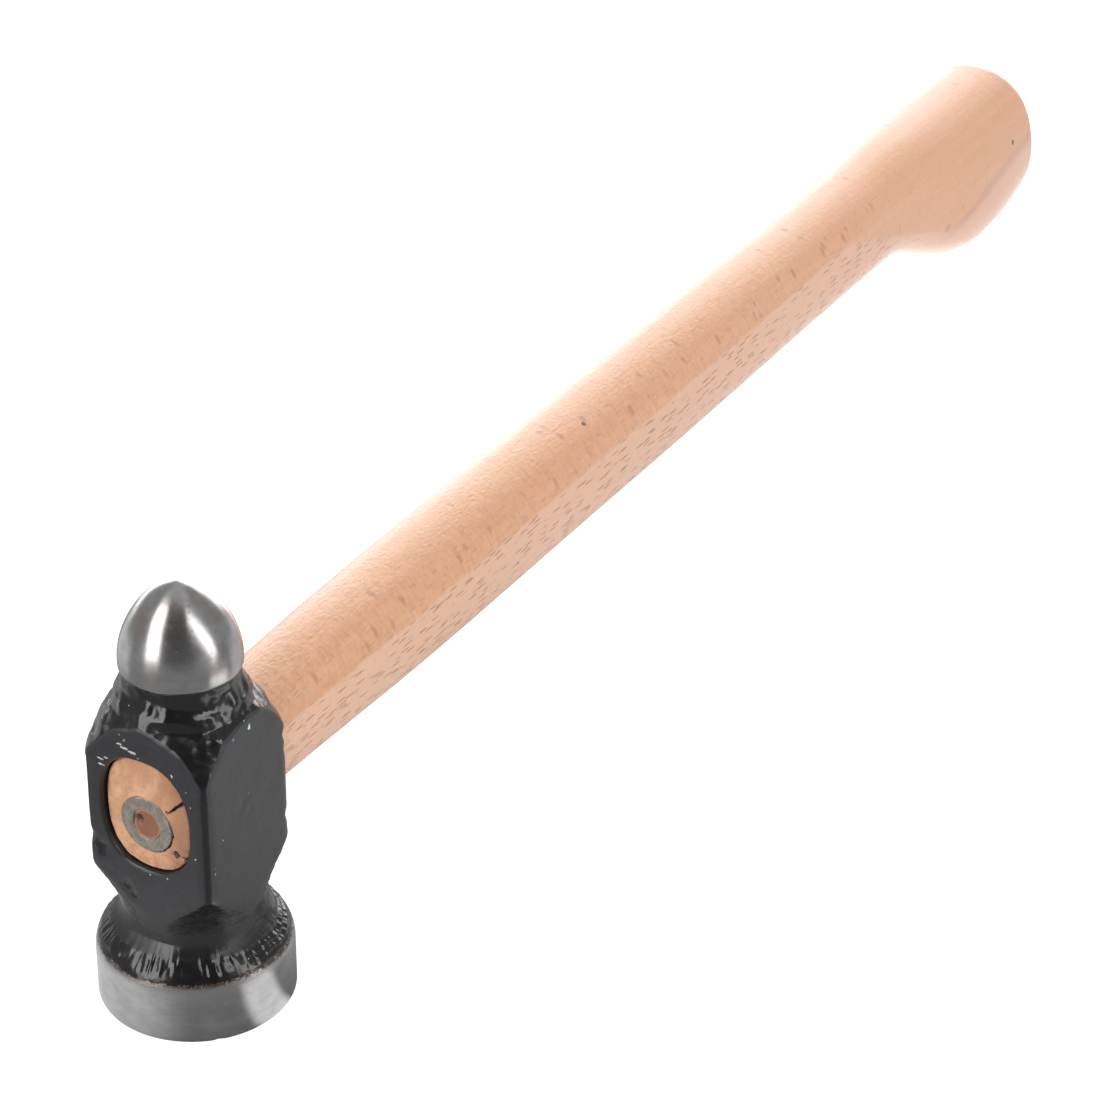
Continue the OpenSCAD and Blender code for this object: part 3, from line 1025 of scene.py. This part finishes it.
def end_grain(t, mm, grain, flat, y):
    """Colour of the end that shows in the eye, darker within the ring, with painted shade from the
    eye's rim towards -Y.
    """
    rings = t.streaks(grain, (0.1, 0.45, 0.25), 3, 0.6)
    colour = t.mix(t.ramp(rings, 0.35, 0.70), (0.540, 0.260, 0.135, 1), (0.740, 0.410, 0.230, 1))
    fuzz = t.ramp(t.noise(mm, 3.0, 3, 0.7), 0.50, 0.78, 0, 0.55)
    colour = t.mix(fuzz, colour, (0.330, 0.150, 0.075, 1))
    # Painted shade cast by the eye's rim: the end grows darker towards -Y.
    colour = t.mix(t.ramp(y, 0.5, -5.5, 0, 0.8), colour, (0.300, 0.125, 0.055, 1))
    from_ring = t.vector("DISTANCE", flat, (0.0, RING_Y, RING_Z)).outputs["Value"]
    return t.mix(t.ramp(from_ring, 2.2, 1.7, 0, 0.95), colour, (0.220, 0.075, 0.026, 1))


def long_grain(t, mm, grain, x, fibre, plain, side):
    """Colour of the wood along the handle, before its rays, pores and marks."""
    # Growth layers: planes across Y, wavering slowly along the handle.
    layers = t.streaks(grain, (0.004, 0.30, 0.05), 3, 0.55)
    streaks = t.streaks(grain, (0.03, 1.4, 1.4), 3, 0.6)
    cloud = t.streaks(mm, (0.05, 0.10, 0.10), 3, 0.5)
    silk = t.streaks(mm, (1.6, 0.7, 0.7), 4, 0.65)
    tan = t.mix(t.ramp(layers, 0.30, 0.70), (0.665, 0.345, 0.188, 1), (0.760, 0.415, 0.252, 1))
    for mask, colour in (
            (t.ramp(streaks, 0.35, 0.75, 0, 0.40), (0.800, 0.455, 0.272, 1)),
            (t.product(t.ramp(silk, 0.42, 0.66, 0, 0.75), plain), (0.620, 0.320, 0.175, 1)),
            (t.ramp(fibre, 0.48, 0.75, 0, 0.40), (0.560, 0.300, 0.165, 1)),
            (t.ramp(cloud, 0.45, 0.75, 0, 0.40), (0.720, 0.355, 0.220, 1)),
            (t.product(side, 0.40), (0.830, 0.570, 0.440, 1)),
            (t.ramp(x, 60.0, 200.0, 0, 0.25), (0.700, 0.400, 0.300, 1))):
        tan = t.mix(mask, tan, colour)
    return tan


def beech():
    material, t = new_material("waxed_beech")
    mm, x, y, z = millimetres(t)
    grain = grain_space(t, mm)
    flat = t.add("ShaderNodeCombineXYZ", {0: 0.0, 1: y, 2: z}).outputs[0]

    # Masks: the butt's end, the sides and the top, and the end that shows in the eye.
    normal = t.add("ShaderNodeNewGeometry").outputs["Normal"]
    along = t.add("ShaderNodeSeparateXYZ", {0: normal}).outputs[0]
    butt = t.product(t.ramp(along, 0.55, 0.85), t.ramp(x, 214.0, 218.0))
    side, line = side_face(t, mm, x, z)
    side = t.product(side, t.inverse(butt))
    upright = t.inverse(t.math("MAXIMUM", side, butt))
    front = t.product(t.ramp(along, -0.35, -0.90), t.ramp(x, 0.0, -2.0))
    # Painted shade: the wood deeper in the eye, with the walls of its cracks, is coloured dark brown.
    inside = t.product(t.ramp(x, END_X + 0.05, END_X + 0.50),
                       t.ramp(x, SHOULDER_X, SHOULDER_X - 0.3))
    plain = t.ramp(x, 100.0, 210.0, 1.0, 0.35)

    # Rays show as short dashes on the sides and as flecks and fine pores on top.
    fibre = t.streaks(grain, (0.30, 6.0, 6.0), 3, 0.7)
    dashes = t.product(ribbons(t, grain, (0.27, 0.12, 2.9), (0, 0, 0), 0.05), side,
                       t.ramp(x, 205.0, 165.0))
    pores = t.product(ribbons(t, grain, (0.36, 3.4, 0.12), (3, 8, 1), 0.35), upright,
                      t.ramp(x, 120.0, 200.0, 0.4, 0.1))
    fleck = t.product(ray_flecks(t, mm, z, line), upright)
    from_heel = t.math("SUBTRACT", t.math("SUBTRACT", z, EYE_Z), heel_depth(t, x))
    heel = t.product(t.ramp(t.math("ABSOLUTE", from_heel), 1.9, 0.0), t.ramp(x, 192.0, 199.0),
                     t.inverse(butt))
    sawn = t.streaks(mm, (0.3, 1.6, 5.0), 3, 0.65)
    # Painted shade: the pits and cracks in the end of the wood are coloured dark brown.
    marks = [(0.0, *place) for place in END_PIT_SHADE]
    pits = t.product(marks_of(t, jagged_space(t, flat), marks), t.ramp(x, 0.0, -2.0))

    tan = long_grain(t, mm, grain, x, fibre, plain, side)
    for mask, colour in (
            (t.product(fleck, 0.60), (0.440, 0.210, 0.120, 1)),
            (pores, (0.450, 0.240, 0.150, 1)),
            (t.product(dashes, 0.68), (0.340, 0.140, 0.060, 1)),
            (t.product(heel, 0.55), (0.560, 0.290, 0.230, 1)),
            (t.product(butt, t.ramp(sawn, 0.35, 0.70, 0.15, 0.60)), (0.480, 0.245, 0.140, 1)),
            (front, end_grain(t, mm, grain, flat, y)),
            (pits, (0.070, 0.026, 0.014, 1)),
            (t.product(inside, 0.8), (0.130, 0.060, 0.030, 1)),
            (t.product(marks_of(t, mm, DARK_SPECKS), 0.85), (0.07, 0.045, 0.035, 1))):
        tan = t.mix(mask, tan, colour)

    rough = t.ramp(fibre, 0.3, 0.8, 0.30, 0.42, soft=False)
    rough = t.math("ADD", rough, t.product(front, 0.3))
    ripple = t.streaks(mm, (1.1, 1.9, 1.9), 3, 0.6)
    height = t.math("ADD", t.product(ripple, plain, 0.15), t.product(fibre, 0.02))
    height = t.math("SUBTRACT", height, t.product(dashes, 0.05))
    shade(t, colour=tan, rough=rough, normal=t.bump(height, 1.0), sheen=0.12)
    return material


def pool(t, heading, azimuth, wide, narrow, most):
    """Glow of the floor around one heading: most at the middle, none past the wide cosine."""
    return t.ramp(t.along(heading, from_angles(azimuth, 0, 1)), wide, narrow, 0.0, most)


def floor_pools(t, flat, x, y):
    """Lit patches of the floor that only reflections show, by heading and distance in mm."""
    away = t.vector("LENGTH", flat).outputs["Value"]
    heading = t.vector("NORMALIZE", flat).outputs[0]
    from_shaft = t.vector("DISTANCE", flat, (45, -35, 0)).outputs["Value"]
    edges = t.math("ADD", pool(t, heading, 90, 0.85, 0.97, 0.60),
                   pool(t, heading, 338, 0.85, 0.97, 0.50))
    pools = [
        t.product(t.ramp(x, 120.0, 250.0, 0.0, 4.0), t.ramp(y, -20.0, 20.0)),
        t.ramp(from_shaft, 50.0, 15.0, 0.0, 0.5),
        t.product(pool(t, heading, 270, 0.940, 0.985, 1.0), t.ramp(away, 40.0, 28.0)),
        t.product(pool(t, heading, 284, 0.925, 0.985, 1.7),
                  t.window(away, 68.0, 80.0, 110.0, 150.0)),
        t.product(pool(t, heading, 125, 0.0, 0.95, 0.62), t.ramp(away, 45.0, 25.0)),
        t.product(edges, t.window(away, 60.0, 120.0, 300.0, 700.0)),
    ]
    total = pools[0]
    for patch in pools[1:]:
        total = t.math("ADD", total, patch)
    return total


def paper():
    """White to the camera. Its glow stands in for a lit room, and has pools in reflections."""
    material, t = new_material("studio_floor")
    mm, x, y, _ = millimetres(t)
    colour = t.mix(t.noise(mm, 0.01, 2), (0.29, 0.29, 0.29, 1), (0.31, 0.31, 0.31, 1))
    shader = shade(t, colour=colour, rough=0.9)
    shader.inputs["Specular IOR Level"].default_value = 0.1
    shader.inputs["Emission Color"].default_value = (1, 1, 1, 1)
    flat = t.vector("MULTIPLY", mm, (1, 1, 0)).outputs[0]
    glow = by_ray(t, FLOOR_GLOW, floor_pools(t, flat, x, y))
    t.feed(shader.inputs["Emission Strength"], glow)
    return material


def by_ray(t, matte, gloss):
    """A strength for matte light, another for reflections, and full white for the camera."""
    kind = t.add("ShaderNodeLightPath")
    strength = t.blend(kind.outputs["Is Glossy Ray"], matte, gloss)
    return t.blend(kind.outputs["Is Camera Ray"], strength, 1.0)


# ---------------------------------------------------------------- studio

def from_angles(azimuth, elevation, distance):
    """A point at an azimuth in the XY plane and an elevation, in degrees."""
    a, e = math.radians(azimuth), math.radians(elevation)
    return Vector((math.cos(a) * math.cos(e), math.sin(a) * math.cos(e), math.sin(e))) * distance


def softbox(name, azimuth, elevation, distance, size, radiance, seen_by, roll=0, tint=(1, 1, 1)):
    """A flat studio light that shines on the hammer with a given brightness of its face."""
    width, height = size
    light = bpy.data.lights.new(name, "AREA")
    light.shape = "RECTANGLE"
    light.size = width
    light.size_y = height
    light.energy = radiance * math.pi * width * height
    light.color = tint
    obj = link(bpy.data.objects.new(name, light))
    way = from_angles(azimuth, elevation, distance)
    obj.location = AIM_POINT + way
    obj.rotation_euler = (-way).to_track_quat("-Z", "Y").to_euler()
    obj.rotation_euler.rotate_axis("Z", math.radians(roll))
    obj.visible_camera = False
    obj.visible_diffuse = seen_by == "matte"
    obj.visible_glossy = seen_by == "gloss"


def make_world():
    """White to the camera, soft light mostly from the camera's side, and in reflections a
    dark room with a bright rim behind."""
    world = bpy.data.worlds.new("studio")
    bpy.context.scene.world = world
    t = Tree(world)
    way = t.add("ShaderNodeTexCoord").outputs["Generated"]
    toward_camera = t.along(way, from_angles(VIEW_AZ, VIEW_EL, 1))
    wash = t.ramp(toward_camera, -1.0, 1.0, ROOM_LIGHT[0], ROOM_LIGHT[1], soft=False)
    up = t.add("ShaderNodeSeparateXYZ", {0: way}).outputs[2]
    walls = t.ramp(t.along(way, from_angles(VIEW_AZ, 35, 1)), 0.55, 0.92, 0.40, 0.10)
    ceiling = t.ramp(up, 0.80, 0.97, 0.0, 0.25)
    rim = t.ramp(t.along(way, from_angles(25, 8, 1)), 0.72, 0.95, 0.0, 4.0)
    room = t.math("ADD", t.math("ADD", walls, ceiling), rim)
    background = t.add("ShaderNodeBackground",
                       {"Color": (1, 1, 1, 1), "Strength": by_ray(t, wash, room)})
    t.add("ShaderNodeOutputWorld", {0: background.outputs[0]})


def make_lights():
    """Two upright lights beside the camera, for the gloss, and a faint one behind, left."""
    softbox("softbox_left", VIEW_AZ - 53, 30, 0.95, (0.46, 1.00), 4.0, "gloss", roll=16)
    softbox("softbox_right", VIEW_AZ + 56, 27, 0.95, (0.25, 1.05), 3.9, "gloss", roll=28)
    softbox("softbox_back", VIEW_AZ - 110, 32, 1.0, (0.80, 0.55), 1.5, "matte",
            tint=(0.95, 1.00, 1.12))


def make_floor():
    bpy.ops.mesh.primitive_grid_add(x_subdivisions=8, y_subdivisions=8, size=6.0,
                                    location=(0, 0, -0.0001))
    floor = bpy.context.object
    floor.name = "studio_floor"
    floor.data.materials.append(paper())


def make_camera():
    camera = bpy.data.cameras.new("camera")
    camera.sensor_width = 36
    camera.lens = LENS_MM
    camera.clip_start = 0.01
    camera.clip_end = 20
    obj = link(bpy.data.objects.new("camera", camera))
    obj.location = CAMERA_PLACE
    obj.rotation_euler = (-from_angles(VIEW_AZ, VIEW_EL, 1)).to_track_quat("-Z", "Y").to_euler()
    bpy.context.scene.camera = obj


def main():
    bpy.context.scene.view_settings.view_transform = "Standard"
    make_camera()
    make_world()
    make_lights()
    make_floor()
    for make, node in ((make_head, "head"), (make_handle, "handle"), (make_ring, "ring_wedge")):
        piece = make()
        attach(piece, "root")
        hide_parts(node)


main()
